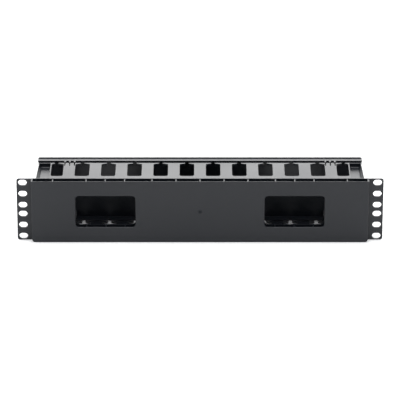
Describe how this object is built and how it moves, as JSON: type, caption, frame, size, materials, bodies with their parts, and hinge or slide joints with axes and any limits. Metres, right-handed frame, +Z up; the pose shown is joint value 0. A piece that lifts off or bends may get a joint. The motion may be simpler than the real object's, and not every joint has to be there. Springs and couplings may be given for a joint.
{
  "type": "horizontal cable manager",
  "caption": "Black moulded 19-inch horizontal cable duct for a rack, with finger slots above and below, rear pass-through windows and a hinged front cover.",
  "frame": {"origin": "centre of the rack ears' rear faces, midway between the ears and at mid height", "axes": "+X along the panel, +Y out of the rack through the front cover, +Z up"},
  "size_m": [0.481, 0.0801, 0.0886],
  "materials": {
    "base_abs": "satin black moulded ABS",
    "cover_abs": "satin black moulded ABS"
  },
  "bodies": {
    "base_body": {"base": "base_abs"},
    "cover_body": {"cover": "cover_abs"}
  },
  "joints": [
    {"name": "cover_hinge", "type": "hinge", "parent": "base_body", "child": "cover_body", "pos_m": [0, 0.0592, 0.0403], "axis": [1, 0, 0], "range_deg": [0, 95]}
  ]
}
